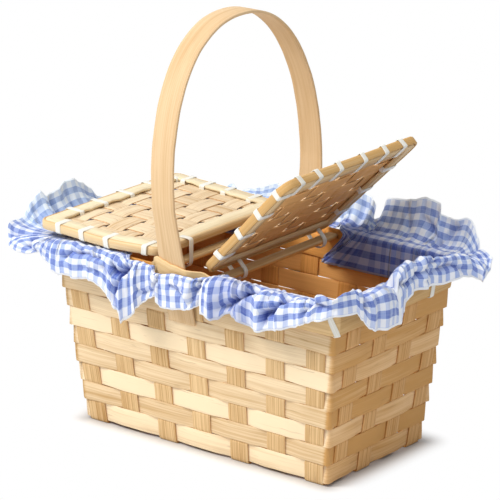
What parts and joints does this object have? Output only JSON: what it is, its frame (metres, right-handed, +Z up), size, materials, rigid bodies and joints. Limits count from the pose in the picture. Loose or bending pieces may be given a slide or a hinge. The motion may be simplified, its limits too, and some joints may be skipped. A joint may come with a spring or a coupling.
{
  "type": "pie basket",
  "caption": "Rectangular woven splint basket with a bent wood handle, two lids hinged on cross bars and a gathered gingham ruffle round the rim.",
  "frame": {"origin": "on the ground under the middle cross stake, half way across the basket's base", "axes": "+X along the basket's long side towards the open lid, +Y from the front wall to the back wall, +Z up"},
  "size_m": [0.413, 0.2659, 0.3945],
  "materials": {
    "weaver_splint": "bare pale wood splint",
    "stake_splint": "bare wood splint with a coarse grain",
    "rim_wood": "bare bent wood strip",
    "handle_wood": "smooth bent wood",
    "lid_wood": "bare bent wood strip",
    "tie": "off-white flat binding strip",
    "cloth": "blue and white gingham cotton"
  },
  "bodies": {
    "basket": {"cross_stake_1": "stake_splint", "cross_stake_2": "stake_splint", "cross_stake_3": "stake_splint", "cross_stake_4": "stake_splint", "cross_stake_5": "stake_splint", "cross_stake_6": "stake_splint", "cross_stake_7": "stake_splint", "long_stake_1": "stake_splint", "long_stake_2": "stake_splint", "long_stake_3": "stake_splint", "long_stake_4": "stake_splint", "weaver_1": "weaver_splint", "weaver_2": "weaver_splint", "weaver_3": "weaver_splint", "weaver_4": "weaver_splint", "weaver_5": "weaver_splint", "weaver_6": "weaver_splint", "weaver_7": "weaver_splint", "weaver_8": "weaver_splint", "outer_rim_band": "rim_wood", "inner_rim_band": "rim_wood", "left_hinge_bar": "rim_wood", "right_hinge_bar": "rim_wood", "handle": "handle_wood", "ruffle": "cloth"},
    "left_lid": {"left_lid_edge_band": "lid_wood", "left_lid_under_rail": "lid_wood", "left_lid_top_rail": "lid_wood", "left_lid_slat_1": "weaver_splint", "left_lid_slat_2": "weaver_splint", "left_lid_slat_3": "weaver_splint", "left_lid_slat_4": "weaver_splint", "left_lid_slat_5": "weaver_splint", "left_lid_slat_6": "weaver_splint", "left_lid_runner_1": "weaver_splint", "left_lid_runner_2": "weaver_splint", "left_lid_runner_3": "weaver_splint", "left_lid_runner_4": "weaver_splint", "left_lid_runner_5": "weaver_splint", "left_lid_runner_6": "weaver_splint", "left_hinge_tie_1": "tie", "left_hinge_tie_2": "tie"},
    "right_lid": {"right_lid_edge_band": "lid_wood", "right_lid_under_rail": "lid_wood", "right_lid_top_rail": "lid_wood", "right_lid_slat_1": "weaver_splint", "right_lid_slat_2": "weaver_splint", "right_lid_slat_3": "weaver_splint", "right_lid_slat_4": "weaver_splint", "right_lid_slat_5": "weaver_splint", "right_lid_slat_6": "weaver_splint", "right_lid_runner_1": "weaver_splint", "right_lid_runner_2": "weaver_splint", "right_lid_runner_3": "weaver_splint", "right_lid_runner_4": "weaver_splint", "right_lid_runner_5": "weaver_splint", "right_lid_runner_6": "weaver_splint", "right_hinge_tie_1": "tie", "right_hinge_tie_2": "tie"}
  },
  "joints": [
    {"name": "left_lid_hinge", "type": "hinge", "parent": "basket", "child": "left_lid", "pos_m": [-0.036, -0.0015, 0.172], "axis": [0, 1, 0], "range_deg": [0, 81]},
    {"name": "right_lid_hinge", "type": "hinge", "parent": "basket", "child": "right_lid", "pos_m": [0.025, 0.001, 0.172], "axis": [0, -1, 0], "range_deg": [-45, 34]}
  ]
}
